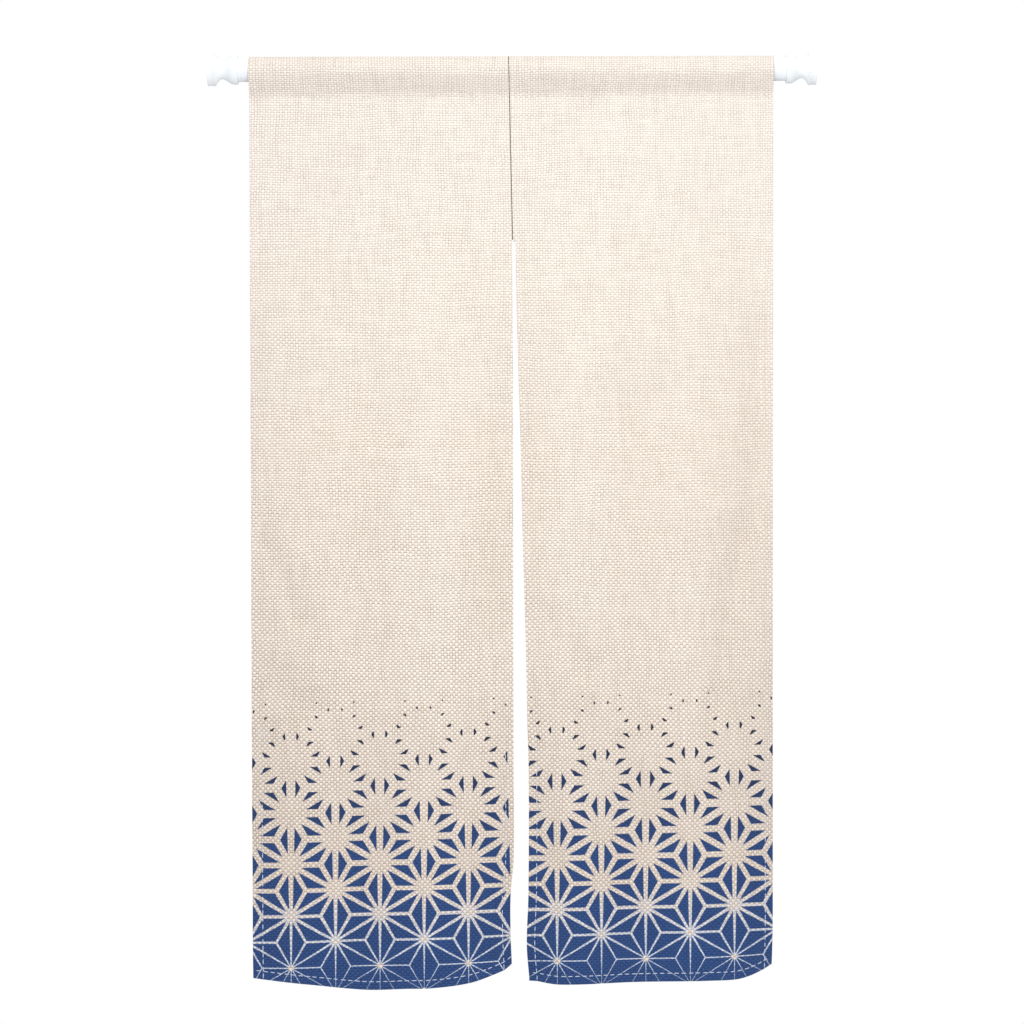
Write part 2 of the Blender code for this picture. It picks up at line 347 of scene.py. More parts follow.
border = {
    "firstStar": (0.1325, -1.4592),  # x and z of the lowest star at the left
    "columnStep": 0.072013,  # between upright columns of stars
    "starStep": 0.083535,  # between stars in one column
    "climb": 0.0239,  # the rows climb to the right
    "sliver": math.radians(15),  # half the angle of one blue shape at its star
    "thinLine": 0.00085,  # half width of a cream line at the lowest stars
    "widening": 0.0221,  # how fast the half width grows upwards
    "thinnest": 0.00025,
    "thinRange": (0.0036, 0.0005),  # half widths that take on the ink's tint
    "starEye": 0.0046,  # radius of the cream spot at a star's middle
    "shapeFar": 0.0432,  # from a star to the middle of the blue shapes round it
    "tipReach": 0.0004,  # reach of the smallest shapes' tips, and how fast it grows
    "tipGrowth": 700.0,
    "swellStarts": (0.0003, 0.0008, -0.0008, 0.0004),  # the smallest shapes run to wider dots, then end:
    "swellEnds": (0.0012, 0.0030, 0, -0.0004),  # two half widths, and what they have added
    "softEdge": 0.0006,
    "jitter": 0.0009,  # how far the print's edge follows single threads
    "jitterAcross": (0.9, 2.3, 2.2),  # noise: scale across, scale down, seed
    "jitterDown": (2.3, 0.9, 4.4),
}


def buildBorder():
    tree, given, result = newGroup("hemp leaf border", ["Cloth", "Threads"], ["Ink", "Thin"])
    x, z, _ = split(given["Cloth"])
    u, v, _ = split(given["Threads"])
    jitterX = minus(grain(u, v, border["jitterAcross"]), 0.5)
    jitterZ = minus(grain(u, v, border["jitterDown"]), 0.5)
    x = minus(x, border["firstStar"][0])
    z = minus(z, border["firstStar"][1])
    z = scaled(x, -border["climb"], z)
    x = scaled(jitterX, border["jitter"], x)
    z = scaled(jitterZ, border["jitter"], z)

    def length(a, b):
        return calc("SQRT", calc("ADD", times(a, a), times(b, b)))

    def nearestStar(shiftX, shiftZ):  # offset to the nearest star of one of the two nets
        offX = calc("PINGPONG", minus(x, shiftX), border["columnStep"])
        offZ = calc("PINGPONG", minus(z, shiftZ), border["starStep"] / 2)
        return offX, offZ, length(offX, offZ)

    evenX, evenZ, evenFar = nearestStar(0.0, 0.0)
    oddX, oddZ, oddFar = nearestStar(border["columnStep"], border["starStep"] / 2)
    odd = calc("LESS_THAN", oddFar, evenFar)
    far = calc("MINIMUM", evenFar, oddFar)
    aside = scaled(minus(oddX, evenX), odd, evenX)
    up = scaled(minus(oddZ, evenZ), odd, evenZ)
    turn = calc("PINGPONG", calc("ARCTAN2", up, aside), border["sliver"])
    fromLine = times(far, calc("SINE", turn))
    width = scaled(z, border["widening"], border["thinLine"])
    width = calc("MAXIMUM", width, border["thinnest"])
    left = minus(border["shapeFar"] * math.sin(border["sliver"]), width)  # half width left for a shape
    swell = calc("ADD", remap(left, *border["swellStarts"]), remap(left, *border["swellEnds"]))
    edge = (-border["softEdge"], border["softEdge"])
    ink = calc("ADD", minus(fromLine, width), swell)
    ink = remap(ink, *edge, smooth=True)
    reach = scaled(left, border["tipGrowth"], 1.0)
    reach = scaled(reach, left, border["tipReach"])
    off = minus(border["sliver"], turn)
    outward = scaled(far, calc("COSINE", off), -border["shapeFar"])
    fromMiddle = length(outward, times(far, calc("SINE", off)))
    ink = times(ink, remap(minus(fromMiddle, reach), *edge, 1, 0, True))
    eye = remap(minus(far, border["starEye"]), *edge, smooth=True)
    feed(result["Ink"], times(ink, eye))
    feed(result["Thin"], times(remap(width, *border["thinRange"]), eye))
    return tree


# Ranges are heights down the cloth, or x for the calm
look = {
    "crown": (0.965, 0.872, 0.775, 1.0),  # cream on top of a thread
    "gap": (0.52, 0.435, 0.365, 1.0),  # between threads, darker: painted shade in the gaps
    "gapToCrown": (0.10, 0.85),  # heights of the weave at which those two hold
    "openness": (-0.2, -0.8, 0.76, 1.0),  # gaps read softer at the top: range, and value at its two ends
    "crossing": (-0.1, -0.8, 0.42, 1.0),  # and so does the painted light and shade of single crossings
    "inkCrown": (0.033, 0.083, 0.249, 1.0),
    # ink between threads, darker: painted shade in the gaps
    "inkGap": (0.014, 0.036, 0.13, 1.0),
    "inkAtTop": (0.022, 0.028, 0.055, 1.0),  # the smallest shapes are almost black
    "navyRange": (-1.27, -1.06),
    "thinLine": (0.66, 0.76, 0.92, 1.0),  # the thinnest lines take on some of the ink
    "footDarkening": (0.90, 0.88, 0.87, 1.0),  # the cream over the border is darker towards the bottom
    "footDarkeningRange": (-0.97, -1.28),
    "dots": (-0.085, 0.075),  # painted light and shade: level threads darker, as lying lower, upright ones lighter, as catching more light
    "underShade": 0.44,  # painted shade on the lower side of a level thread, as under light from above
    "lowerRange": (-0.70, -1.05),  # lower down, painted light makes upright threads stand out as dots
    "lowerDots": (-0.10, 0.03),
    "lowerUnder": 0.70,  # what is left there of the painted shade under level threads
    "between": (0.095, 0.115),  # painted shade between level threads, low down and at the top
    "beside": (0.0, 0.115),  # and painted shade between upright ones
    "topRange": (-0.60, -0.10),
    "coolTop": (0.990, 1.012, 1.036, 1.0),  # the cream at the top is a little less warm
    "calm": (0.55, 0.90, 1.0, 0.80),  # the weave's painted light and shade eases off towards the right edge
    "threadTone": 0.12,  # how much single threads differ
    "mottle": 0.03,  # soft patches, some centimetres across
    "mottleNoise": (0.05, 0.05, 6.0),
    "paintedHollowShade": 3.6,  # painted shade: how much darker the colour is for each metre that a fold stands back
    "shadeTint": (0.84, 1.0, 1.08),  # shade on the cloth keeps more red than blue
    "pocketShade": 0.035,  # painted shade: the pocket's colour is a little darker
    "pocketRange": (-0.050, -0.040),
    "showThrough": 0.20,  # how much ink shows on the wrong side
    "surface": {"Roughness": 0.92, "Specular IOR Level": 0.15, "Sheen Weight": 0.12, "Sheen Roughness": 0.6},
}


def clothMaterial(name, inkShare):
    material, tree, shader = newMaterial(name, look["surface"])
    flat = addNode(tree, "ShaderNodeUVMap", uv_map="cloth").outputs[0]
    threads = addNode(tree, "ShaderNodeUVMap", uv_map="threads").outputs[0]
    woven = addNode(tree, "ShaderNodeGroup", threads, node_tree=weaveTree).outputs
    printed = addNode(tree, "ShaderNodeGroup", flat, threads, node_tree=borderTree).outputs
    across, down, _ = split(flat)
    nearTop = remap(down, *look["topRange"])
    calm = remap(across, *look["calm"])
    openness = times(remap(down, *look["openness"]), calm)
    crossing = times(remap(down, *look["crossing"]), calm)

    # painted shade: the colour darkens from a thread's crown down into the gaps
    fullness = remap(woven["Height"], *look["gapToCrown"], smooth=True)
    fullness = minus(1.0, times(minus(1.0, fullness), openness))
    cream = blend(fullness, look["gap"], look["crown"])
    cream = blend(nearTop, cream, look["coolTop"], "MULTIPLY")
    # darker towards the bottom, over the border
    footDarkening = times(remap(down, *look["footDarkeningRange"]), inkShare)
    cream = blend(footDarkening, cream, look["footDarkening"], "MULTIPLY")
    thin = times(printed["Thin"], inkShare)
    cream = blend(thin, cream, look["thinLine"])
    ink = blend(fullness, look["inkGap"], look["inkCrown"])
    ink = blend(remap(down, *look["navyRange"]), ink, look["inkAtTop"])
    inked = times(printed["Ink"], inkShare)
    colour = blend(inked, cream, ink)

    u, v, _ = split(threads)
    cloud = minus(grain(u, v, look["mottleNoise"], detail=3.0), 0.5)
    light = scaled(cloud, 2 * look["mottle"], 1.0)
    light = scaled(minus(woven["Tone"], 0.5), 2 * look["threadTone"], light)
    upright = woven["Upright"]
    # painted light and shade on the threads where they cross
    light = scaled(remap(upright, 0, 1, *look["dots"]), crossing, light)
    lower = times(remap(down, *look["lowerRange"]), minus(1.0, inked))
    light = scaled(remap(upright, 0, 1, *look["lowerDots"]), lower, light)
    # painted shade under level threads
    under = times(woven["Under"], minus(1.0, upright))
    under = times(times(under, crossing), remap(lower, 0, 1, 1, look["lowerUnder"]))
    light = scaled(under, -look["underShade"], light)
    # painted shade in the dips between threads
    for label in ("Between", "Beside"):
        shade = times(remap(nearTop, 0, 1, *look[label.lower()]), calm)
        light = minus(light, times(woven[label], shade))
    # painted shade: the colour darkens where folds stand back and under the painted shade patches
    paintedHollowShade = addNode(tree, "ShaderNodeAttribute", attribute_name="paintedHollowShade").outputs["Fac"]
    light = scaled(paintedHollowShade, -look["paintedHollowShade"], light)
    # painted shade over the pocket
    light = scaled(remap(down, *look["pocketRange"]), -look["pocketShade"], light)
    colour = blend(1.0, colour, tint(light, look["shadeTint"]), "MULTIPLY")
    feed(shader.inputs["Base Color"], colour)
    addBump(shader, woven["Height"], weave["bump"], weave["relief"])
    return material


weaveTree = buildWeave()
borderTree = buildBorder()
clothFront = clothMaterial("cloth front", 1.0)
clothBack = clothMaterial("cloth wrong side", look["showThrough"])
print("cloth materials ready")


# The cloth's shape: two panels over one rod, in the folds in which they hang

cloth = {
    "thickness": 0.0013,
    "rodRadius": 0.0195,
    "gap": 0.0003,
    "stitchDrop": 0.043,  # the pocket's stitch line, below the rod's axis
    "pocketHem": 0.01,  # the pocket's hem behind, below the stitch line
    "pastStitch": 0.002,  # a hem's inner edge lies this far past its stitches
    "hemStep": 0.0015,
    "bottomStitch": 0.0135,
    "foldsStart": 0.06,
    "foldsFull": 0.36,
    "seamTop": (0.4885, 0.0211),
    "seamFoot": (0.4944, -0.2770),
    "tightKink": 0.005,  # bend at the stitch line near the left edge
    "softKink": 0.016,  # and over the rest of the width
    "kinkEases": (0.15, 0.26),
    "dentDepth": 0.00035,  # how deep stitches pull the cloth in
    "dentWidth": 0.0013,
    "sharpest": 0.08,  # share of the thickness left at a folded edge
    "unevenness": 0.0005,
    "unevenNoise": ((1.0, 9, 5, 0), (0.6, 26, 17, 5)),  # share, scale across, scale down, seed
    "evenAbove": 0.12,  # it sets in over this height below the pocket
    "bulge": 0.0022,  # the pocket's sides stand out over the rod's tangent
    "bulgeHeight": 0.058,
    "bulgeNoise": (0.5, 11, 25, 9),
    "columnStep": 0.0062,
    "hemColumn": 0.004,  # columns and rows lie closer in the hems
    "rowStep": 0.006,
    "pocketRow": 0.006,
    "bendSteps": 6,  # rows at the bend, up to the rod and over it
    "riseSteps": 5,
    "overSteps": 30,
    "threadDown": 0.004232,  # from one level thread to the next, low down
    "threadsMore": 8.28,  # how many more there are near the top, where they lie closer
    "threadsFrom": (0.12, 0.081),  # that count ends this far above the stitch line, and is 0 this far below
    "threadsFade": 0.2925,
}

# Edges are (z, x), hems (x, z). A fold is x and z of its top and foot, half width, ease and depth, a curl is
# x, z, reach and depth, and a painted shade is x, z, half width, half height and the depth it stands for: a
# soft dark patch painted into the cloth's colour, with no fold behind it.
# Depths are away from the viewer.
leftPanel = {
    "node": "left_panel",
    "sewnRight": True,
    "leftEdge": [(-1.48, 0.0698), (-1.13, 0.0684), (-0.55, 0.0675), (-0.15, 0.0672), (0.021, 0.0667)],
    "rightEdge": [
        (-1.46, 0.4909), (-1.414, 0.4891), (-1.365, 0.4885), (-1.33, 0.4897), (-1.284, 0.4941),
        (-1.13, 0.4941), (-0.9, 0.4941), (-0.44, 0.4943), (-0.29, 0.4934),
    ],
    "hem": [
        (0.0698, -1.4773), (0.1643, -1.4864), (0.2521, -1.4957), (0.325, -1.4934), (0.3577, -1.4925),
        (0.4237, -1.4846), (0.4672, -1.471), (0.48, -1.4658), (0.4909, -1.4572),
    ],
    "leftStitch": 0.0168,
    "rightStitch": 0.013,
    "threadAcross": 0.00439,
    "folds": [
        (0.06, -0.52, 0.062, -1.3, 0.034, 0.14, 0.009),
        (0.165, -0.45, 0.15, -1.5, 0.055, 0.16, -0.005),
        (0.093, -0.772, 0.15, -0.894, 0.017, 0.03, 0.005),
        (0.11, -0.985, 0.155, -1.03, 0.032, 0.04, 0.005),
        (0.265, -0.6, 0.245, -1.5, 0.045, 0.16, 0.004),
        (0.355, -0.5, 0.365, -1.5, 0.052, 0.16, -0.006),
        (0.462, -0.6, 0.47, -0.88, 0.02, 0.06, 0.006),
        (0.5, -0.65, 0.5, -1.45, 0.036, 0.16, 0.006),
    ],
    "curls": [(0.491, -1.457, 0.11, 0.022), (0.07, -1.477, 0.08, 0.008)],
    "paintedShades": [
        (0.12, -1.15, 0.055, 0.38, 0.014),
        (0.165, -0.65, 0.045, 0.42, 0.008),
        (0.442, -0.8, 0.025, 0.09, 0.01),
    ],
    "seed": 3.0,
}
rightPanel = {
    "node": "right_panel",
    "sewnRight": False,
    "leftEdge": [
        (-1.478, 0.519), (-1.423, 0.5151), (-1.34, 0.518), (-1.15, 0.5189), (-1.05, 0.5166),
        (-0.96, 0.5152), (-0.878, 0.5132), (-0.755, 0.5098), (-0.61, 0.5069), (-0.39, 0.5009),
        (-0.292, 0.4995),
    ],
    "rightEdge": [(-1.46, 0.9155), (0.021, 0.9184)],
    "hem": [
        (0.519, -1.483), (0.5332, -1.4834), (0.548, -1.4858), (0.569, -1.4873), (0.7331, -1.4828),
        (0.81, -1.4812), (0.8534, -1.48), (0.8745, -1.4759), (0.899, -1.4668), (0.9155, -1.4586),
    ],
    "leftStitch": 0.013,
    "rightStitch": 0.0125,
    "threadAcross": 0.00425,
    "folds": [
        (0.508, -0.6, 0.52, -1.45, 0.042, 0.16, 0.009),
        (0.564, -0.902, 0.605, -0.967, 0.024, 0.03, 0.005),
        (0.59, -0.5, 0.6, -1.49, 0.055, 0.16, -0.006),
        (0.7, -0.6, 0.68, -1.49, 0.05, 0.16, 0.004),
        (0.8, -0.55, 0.79, -1.49, 0.055, 0.16, -0.005),
        (0.865, -0.764, 0.824, -1.024, 0.02, 0.05, 0.006),
        (0.89, -0.44, 0.885, -0.7, 0.024, 0.07, 0.006),
        (0.925, -0.65, 0.925, -1.4, 0.034, 0.16, 0.008),
    ],
    "curls": [(0.915, -1.458, 0.09, 0.022), (0.519, -1.483, 0.06, 0.006)],
    "paintedShades": [
        (0.89, -1.08, 0.05, 0.3, 0.006),
        (0.84, -0.75, 0.07, 0.55, 0.012),
        (0.605, -1.03, 0.03, 0.07, 0.014),
    ],
    "seed": 11.0,
}


def smoothStep(value):
    value = np.clip(value, 0, 1)
    return value * value * (3 - 2 * value)


def onCurve(places, along):  # a smooth curve through the places, flat past both of its ends
    at, across = np.array(places).T
    before = np.maximum(np.arange(len(at)) - 1, 0)
    after = np.minimum(np.arange(len(at)) + 1, len(at) - 1)
    slopes = (across[after] - across[before]) / (at[after] - at[before])
    along = np.clip(along, at[0], at[-1])
    low = np.clip(np.searchsorted(at, along, side="right") - 1, 0, len(at) - 2)
    span = at[low + 1] - at[low]
    t = (along - at[low]) / span
    return (
        across[low] * (1 + 2 * t) * (1 - t) ** 2
        + across[low + 1] * t * t * (3 - 2 * t)
        + slopes[low] * span * t * (1 - t) ** 2
        + slopes[low + 1] * span * t * t * (t - 1)
    )


def seamX(z):  # where the panels meet above the slit
    (topX, topZ), (footX, footZ) = cloth["seamTop"], cloth["seamFoot"]
    return topX + (footX - topX) * (topZ - z) / (topZ - footZ)


def edgeX(panel, right, z):
    free = onCurve(panel["rightEdge" if right else "leftEdge"], z)
    if right != panel["sewnRight"]:
        return free
    sewn = seamX(z) + (-cloth["gap"] if right else cloth["gap"]) / 2
    return np.where(z >= cloth["seamFoot"][1], sewn, free)


def foldsOnly(panel, x, z):  # how far the folds stand back from the plane under the rod's axis
    depth = np.zeros(np.broadcast(x, z).shape)
    for topX, topZ, footX, footZ, halfWidth, ease, deep in panel["folds"]:
        length = math.hypot(footX - topX, footZ - topZ)
        along = ((x - topX) * (footX - topX) + (z - topZ) * (footZ - topZ)) / length
        aside = ((x - topX) * (footZ - topZ) - (z - topZ) * (footX - topX)) / length
        past = np.maximum(np.maximum(-along, along - length), 0)
        depth = depth + deep * np.exp(-((aside / halfWidth) ** 2) - (past / ease) ** 2)
    return depth * smoothStep((-z - cloth["foldsStart"]) / (cloth["foldsFull"] - cloth["foldsStart"]))


def foldDepth(panel, x, z):  # the folds and the curled corners
    depth = foldsOnly(panel, x, z)
    for curlX, curlZ, reach, deep in panel["curls"]:
        near = np.maximum(1 - np.hypot(x - curlX, z - curlZ) / reach, 0)
        depth = depth + deep * near * near
    return depth


def unevenBy(panel, x, z, kinds):  # smooth noise; a kind is its share, two scales and seed
    return np.reshape([
        sum(share * noise.noise(Vector((a * wide, b * high, panel["seed"] + seed)))
            for share, wide, high, seed in kinds)
        for a, b in zip(np.ravel(x), np.ravel(z))
    ], np.shape(x))


def unevenness(panel, x, z):  # small soft dents all over, none at the pocket
    eased = smoothStep((-z - cloth["stitchDrop"]) / cloth["evenAbove"])
    return cloth["unevenness"] * unevenBy(panel, x, z, cloth["unevenNoise"]) * eased


def rounding(distance, radius):  # how full the cloth is near a folded edge
    inward = 1 - np.clip(distance / radius, 0, 1)
    return np.maximum(np.sqrt(1 - inward * inward), cloth["sharpest"])


def dent(distance):  # the pull of a stitch line on the cloth beside it
    return cloth["dentDepth"] * np.exp(-((distance / cloth["dentWidth"]) ** 2))


def hemSteps(stitch):  # distances from a folded edge to just past its hem
    radius = cloth["thickness"]
    steps = [radius * (1 - math.cos(math.radians(turn))) for turn in (0, 30, 60, 90)]
    plain = stitch - 2 * cloth["dentWidth"]
    count = max(round((plain - radius) / cloth["hemColumn"]), 2)
    steps += [radius + (plain - radius) * step / count for step in range(1, count + 1)]
    steps += [stitch + share * cloth["dentWidth"] for share in (-1, 0, 0.6)]
    inner = stitch + cloth["pastStitch"]
    return np.array([*steps, inner, inner + cloth["hemStep"]])


def clothColumns(panel):  # from z to the x of every column, and each one's distance from its edge
    left = hemSteps(panel["leftStitch"])
    right = hemSteps(panel["rightStitch"])[::-1]
    width = panel["rightEdge"][0][1] - panel["leftEdge"][0][1]
    count = round((width - left[-1] - right[0]) / cloth["columnStep"])
    shares = np.arange(1, count) / count

    def place(z):  # z has one row of columns, or any number of rows
        low = edgeX(panel, False, z)
        high = edgeX(panel, True, z)
        parts = np.concatenate([left, np.zeros(len(shares)), -right])
        base = np.where(np.arange(len(parts)) < len(left) + len(shares), low, high)
        x = base + parts
        middle = slice(len(left), len(left) + len(shares))
        start = low[..., middle] + left[-1]
        end = high[..., middle] - right[0]
        x[..., middle] = start + (end - start) * shares
        return x

    far = np.full(len(shares), 1.0)
    fromLeft = np.concatenate([left, far, far[: len(right)]])
    fromRight = np.concatenate([far[: len(left)], far, right])
    doubled = np.concatenate([np.arange(len(left)) < len(left) - 1, far > 2, np.arange(len(right)) > 0])
    return place, (fromLeft, fromRight), doubled


def pocketPath(kink):  # (y, z, outward y, outward z) up the pocket's front, over the rod, down its back
    half = cloth["thickness"] / 2
    middle = cloth["rodRadius"] + cloth["gap"] + half
    drop = cloth["stitchDrop"]
    slant = math.atan2(drop, kink + half) - math.acos((middle + kink) / math.hypot(kink + half, drop))
    rise = []
    for step in range(1, cloth["bendSteps"] + 1):
        turned = slant * step / cloth["bendSteps"]
        outY, outZ = -math.cos(turned), -math.sin(turned)
        rise.append((-half - kink * (1 + outY), -drop - kink * outZ, outY, outZ))
    y, z, outY, outZ = rise[-1]
    for step in range(1, cloth["riseSteps"]):
        share = step / cloth["riseSteps"]
        rise.append((y + (middle * outY - y) * share, z + (middle * outZ - z) * share, outY, outZ))
    over = []
    for step in range(cloth["overSteps"] + 1):
        angle = math.pi + slant - (math.pi + 2 * slant) * step / cloth["overSteps"]
        outY, outZ = math.cos(angle), math.sin(angle)
        over.append((middle * outY, middle * outZ, outY, outZ))
    return np.array(rise + over + [(-y, z, -outY, outZ) for y, z, outY, outZ in rise[::-1]])


def threadsDown(down):  # threads counted down from the stitch line
    above, below = cloth["threadsFrom"]
    more = 1 - np.exp(-(np.maximum(down, -above) - below) / cloth["threadsFade"])
    return down / cloth["threadDown"] + cloth["threadsMore"] * more


def clothRings(panel):  # every column's outer ring and the one inside the pocket
    place, sides, doubledColumns = clothColumns(panel)
    thickness = cloth["thickness"]
    drop = cloth["stitchDrop"]
    hemFoot = hemSteps(cloth["bottomStitch"])
    columns = len(doubledColumns)
    foot = onCurve(panel["hem"], place(np.full(columns, panel["hem"][0][1])))
    bodyTop = -drop - cloth["pocketHem"] - cloth["hemStep"]
    rows = round((bodyTop - foot.mean() - hemFoot[-1]) / cloth["rowStep"])
    shares = np.arange(1, rows)[:, None] / rows
    body = (foot + hemFoot[-1]) * (1 - shares) + bodyTop * shares
    top = [bodyTop, bodyTop + cloth["hemStep"], -drop - cloth["pocketRow"]]
    top += [-drop - count * cloth["dentWidth"] for count in (2, 1, 0)]
    z = np.concatenate([foot + hemFoot[:, None], body, np.repeat(np.array(top)[:, None], columns, axis=1)])
    x = place(z)

    side = np.minimum(*sides)
    footFar = z - foot
    depth = foldDepth(panel, x, z) + unevenness(panel, x, z)
    curve = rounding(side, thickness) * rounding(footFar, thickness)
    pull = dent(sides[0] - panel["leftStitch"]) + dent(sides[1] - panel["rightStitch"])
    pull = np.maximum(np.maximum(pull, dent(footFar - cloth["bottomStitch"])), dent(z + drop))
    doubled = np.zeros(z.shape, bool)
    doubled[: len(hemFoot) - 1] = True
    doubled[1 - len(top):] = True
    doubled |= doubledColumns
    front = np.stack([x, depth - thickness * curve + pull, z], -1)
    back = np.stack([x, depth + np.where(doubled, thickness * curve, 0) - 0.5 * pull, z], -1)

    start, end = cloth["kinkEases"]
    share = smoothStep((x[-1] - start) / (end - start))
    kinks = cloth["tightKink"] * (1 - share) + cloth["softKink"] * share
    pathY, pathZ, outY, outZ = np.moveaxis(np.stack([pocketPath(kink) for kink in kinks], 1), -1, 0)
    pathX = place(pathZ)
    puff = bulgeAt(pathZ) * (1 + unevenBy(panel, pathX, pathZ, [cloth["bulgeNoise"]]))
    half = 0.5 * thickness * rounding(side, 0.5 * thickness)
    over, inside = (
        np.stack([pathX, pathY + outY * out, pathZ + outZ * out], -1)
        for out in (puff + half, puff - half)
    )
    hops = np.hypot(np.diff(pathY, axis=0), np.diff(pathZ, axis=0))
    first = np.hypot(pathY[0] + 0.5 * thickness, pathZ[0] + drop)
    arc = np.concatenate([first[None], first + np.cumsum(hops, axis=0)]) - drop
    run = arc[-1] + first
    innerStart = np.stack([x[-1], np.zeros(columns), np.full(columns, -drop)], -1)[None]

    rings = np.concatenate([front, over, back[::-1], innerStart, inside])  # ring step, column, xyz
    flat = np.concatenate([z, arc, run + (-drop - z[::-1]), np.full((1, columns), -drop), arc])
    return rings, flat, {
        "levels": len(z), "steps": len(pathZ), "columns": columns, "foot": foot, "hemLevels": len(hemFoot),
        "leftHem": len(hemSteps(panel["leftStitch"])), "rightHem": len(hemSteps(panel["rightStitch"])),
    }


def bulgeAt(z):  # how far the pocket stands out from its straight path
    risen = np.clip((z + cloth["stitchDrop"]) / cloth["bulgeHeight"], 0, 1)
    return cloth["bulge"] * np.sin(math.pi * risen) ** 2


sides = ["face", "wrong", "leftStrip", "rightStrip", "bottomStrip"]  # how a face of the cloth reads the print


def clothFaces(count):  # quads round every ring and across the columns, and the two side edges
    levels, steps, columns = count["levels"], count["steps"], count["columns"]
    outer = 2 * levels + steps
    size = outer + 1 + steps
    pocketBack = levels + steps + 4  # the pocket's hem behind, still the front of the cloth
    faces, kinds = [], []

    def reads(column, step):
        if step <= pocketBack or step == outer - 1:
            return "face"
        if step >= outer:
            return "wrong"
        if outer - step <= count["hemLevels"]:
            return "bottomStrip"
        if column < count["leftHem"] - 1:
            return "leftStrip"
        return "rightStrip" if column >= columns - count["rightHem"] else "wrong"

    for column in range(columns - 1):
        for step in range(size):
            after = step + 1
            if after in (outer, size):
                after = 0 if after == outer else outer
            low, high = step * columns + column, after * columns + column
            faces.append((low, high, high + 1, low + 1))
            kinds.append(reads(column, step))
    for column in (0, columns - 1):
        last = outer - 1
        edge = [(step, step + 1, last - step - 1, last - step) for step in range(levels - 2)]
        edge.append((levels - 2, levels - 1, outer, last - levels + 1, last - levels + 2))
        edge += [(levels - 1 + s, levels + s, outer + 1 + s, outer + s) for s in range(steps)]
        edge.append((levels - 1 + steps, levels + steps, outer, outer + steps))
        faces += [[step * columns + column for step in (face if column else face[::-1])] for face in edge]
        kinds += ["face"] * len(edge)
    return faces, np.array([sides.index(kind) for kind in kinds])


def addPanel(panel):
    name = panel["node"] + "_cloth"
    rings, flat, count = clothRings(panel)
    faces, kinds = clothFaces(count)
    points = rings.reshape(-1, 3)
    mesh = newMesh(name, points.tolist(), faces)

    x, z = points[:, 0], points[:, 2]
    foot = np.tile(count["foot"], len(rings))
    left, right = edgeX(panel, False, z), edgeX(panel, True, z)
    across = np.stack([x, x, 2 * left - x, 2 * right - x, x])
    down = np.stack([flat.ravel(), z, z, z, 2 * foot - z])
    corners = np.zeros(len(mesh.loops), int)
    mesh.loops.foreach_get("vertex_index", corners)
    sizes = np.zeros(len(mesh.polygons), int)
    mesh.polygons.foreach_get("loop_total", sizes)
    kind = np.repeat(kinds, sizes)
    u, v = across[kind, corners], down[kind, corners]
    for layer, pair in (("cloth", (u, v)), ("threads", (u / panel["threadAcross"], -threadsDown(-v)))):
        mesh.uv_layers.new(name=layer).data.foreach_set("uv", np.stack(pair, 1).astype(np.float32).ravel())
    # painted shade for the colour: how far the folds stand back, plus the soft painted shade patches
    paintedHollowShade = foldsOnly(panel, x, z)
    for shadeX, shadeZ, halfWidth, halfHeight, deep in panel["paintedShades"]:
        paintedHollowShade = paintedHollowShade + deep * np.exp(-(((x - shadeX) / halfWidth) ** 2) - ((z - shadeZ) / halfHeight) ** 2)
    paintedHollowShade = paintedHollowShade * (np.arange(len(points)) < count["levels"] * count["columns"])  # on the front face only
    mesh.attributes.new("paintedHollowShade", "FLOAT", "POINT").data.foreach_set("value", paintedHollowShade.astype(np.float32))
    placed = addPiece(name, mesh, (clothFront, clothBack), 60)
    mesh.polygons.foreach_set("material_index", (kinds == sides.index("wrong")).astype(np.int32))
    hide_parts(panel["node"])
    return placed


leftCloth = addPanel(leftPanel)
rightCloth = addPanel(rightPanel)
print("panels:", len(leftCloth.data.polygons), "and", len(rightCloth.data.polygons), "faces")


# Sewing: white machine stitches round the hems, cream ones under the pocket, a seam between the panels
# painted dark as the shadow in its valley

sewing = {
    "dash": 0.0078,  # how much of a stitch shows
    "dashVaries": (0.9, 1.08),
    "period": 0.0115,
    "strays": 0.0006,  # how far a stitch shifts and tilts
    "tilts": 0.03,
    "halfWidth": 0.00072,
    "halfHeight": 0.00045,
    "ends": 0.55,  # width of a stitch's ends, against its middle
    "bow": 1.2,  # how far it bows out and how deep its ends lie, in half heights
    "sunk": 0.9,
    "inDent": 0.4,
    "alongHem": 90,  # points on the lines that stitches follow
    "alongSide": 300,
    "alongPocket": 60,
    "rings": 7,
    "around": 8,
    "white": (0.87, 0.82, 0.75, 1.0),
    "whiteInBorder": (0.66, 0.74, 0.90, 1.0),  # where the thread has taken on some of the ink
    "pastHem": 0.004,  # the side lines start this far below the hem's edge
    "belowPocket": 0.003,  # and end this far below the pocket's line
    "pocketEnds": 0.004,
    "cream": (0.84, 0.77, 0.68, 1.0),
    # painted shadow: the seam thread is near black, for the shade in the valley between the panels
    "seam": (0.10, 0.09, 0.085, 1.0),
    "seamRadius": 0.0006,
    "seamDepth": 0.75,  # the seam's place in the valley, in cloth thicknesses
    "seamProud": 0.0005,  # and how far it stands out round the pocket
    "twist": 1400.0,  # turns of the ply, per metre and radian
    "relief": 0.0001,
    "surface": {"Roughness": 0.75, "Sheen Weight": 0.1},
}


